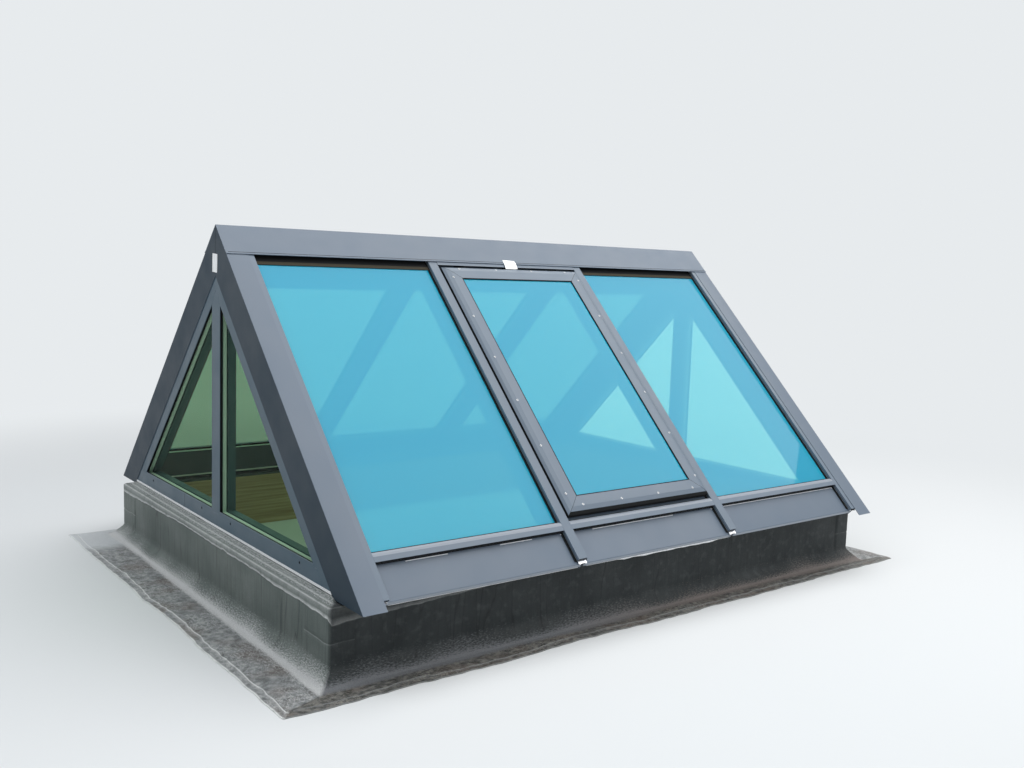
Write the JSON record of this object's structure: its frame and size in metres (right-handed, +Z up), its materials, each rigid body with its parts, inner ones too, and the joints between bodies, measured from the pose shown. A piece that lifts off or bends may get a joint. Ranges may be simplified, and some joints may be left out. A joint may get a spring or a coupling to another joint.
{
  "type": "ridge roof skylight",
  "caption": "Saddle-shaped glazed roof lantern in grey aluminium on a felt-clad upstand, with sealed panes and a top-hung opening vent in one slope",
  "frame": {"origin": "middle of the underside of the upstand", "axes": "+X along the ridge, +Z up, and the slope with the vent faces -Y"},
  "size_m": [3.846, 2.902, 1.7557],
  "materials": {
    "powder_coat": "satin anthracite powder coat on aluminium",
    "solar_glass": "sealed pane with a sun-control coating that reads cyan",
    "clear_glass": "sealed pane, faintly green",
    "black_seal": "matte black rubber",
    "spacer_bar": "dull spacer bar",
    "bare_aluminium": "mill finish",
    "hinge_steel": "brushed",
    "drive_housing": "satin",
    "roofing_felt": "torched bitumen felt, weathered",
    "timber": "sawn softwood",
    "insulation": "rigid foam board"
  },
  "bodies": {
    "frame": {"apron_cores_front": "insulation", "apron_cores_rear": "insulation", "apron_sheets_front": "powder_coat", "apron_sheets_rear": "powder_coat", "base_seal": "black_seal", "cant_strips": "timber", "chain_drive": "drive_housing", "curb_boards": "timber", "curb_felt": "roofing_felt", "eave_beam_front": "powder_coat", "eave_beam_rear": "powder_coat", "eave_caps_front": "powder_coat", "eave_caps_rear": "powder_coat", "gable_beads": "powder_coat", "gable_gaskets": "black_seal", "gable_rail_left": "powder_coat", "gable_rail_right": "powder_coat", "gable_spacers": "spacer_bar", "gable_stiles_left": "powder_coat", "gable_stiles_right": "powder_coat", "hinge_bases": "hinge_steel", "hinge_pins": "hinge_steel", "mullion_left": "powder_coat", "mullion_right": "powder_coat", "outer_gaskets_front": "black_seal", "outer_gaskets_rear": "black_seal", "pane_front_left": "solar_glass", "pane_front_right": "solar_glass", "pane_gable_left": "clear_glass", "pane_gable_right": "clear_glass", "pane_rear_left": "solar_glass", "pane_rear_middle": "solar_glass", "pane_rear_right": "solar_glass", "pressure_plates_front": "bare_aluminium", "pressure_plates_rear": "bare_aluminium", "rafter_caps_front": "powder_coat", "rafter_caps_rear": "powder_coat", "rafters_front": "powder_coat", "rafters_rear": "powder_coat", "ridge_beam": "powder_coat", "ridge_cap": "powder_coat", "ridge_seals_front": "black_seal", "ridge_seals_rear": "black_seal", "seat_gaskets_front": "black_seal", "seat_gaskets_rear": "black_seal", "sill_plates": "bare_aluminium", "spacers_front": "spacer_bar", "spacers_rear": "spacer_bar", "vent_frame": "powder_coat", "vent_seal": "black_seal", "verge_fillers": "insulation", "verge_sheets_left": "powder_coat", "verge_sheets_right": "powder_coat"},
    "sash": {"pane_sash": "solar_glass", "spacer_sash": "spacer_bar", "sash_frame": "powder_coat", "sash_cover": "powder_coat", "sash_gasket": "black_seal", "hinge_leaves": "hinge_steel", "chain_bracket": "hinge_steel"}
  },
  "joints": [
    {"name": "vent_hinge", "type": "hinge", "parent": "frame", "child": "sash", "pos_m": [0, -0.14354, 1.58666], "axis": [-1, 0, 0], "range_deg": [0, 15]}
  ]
}
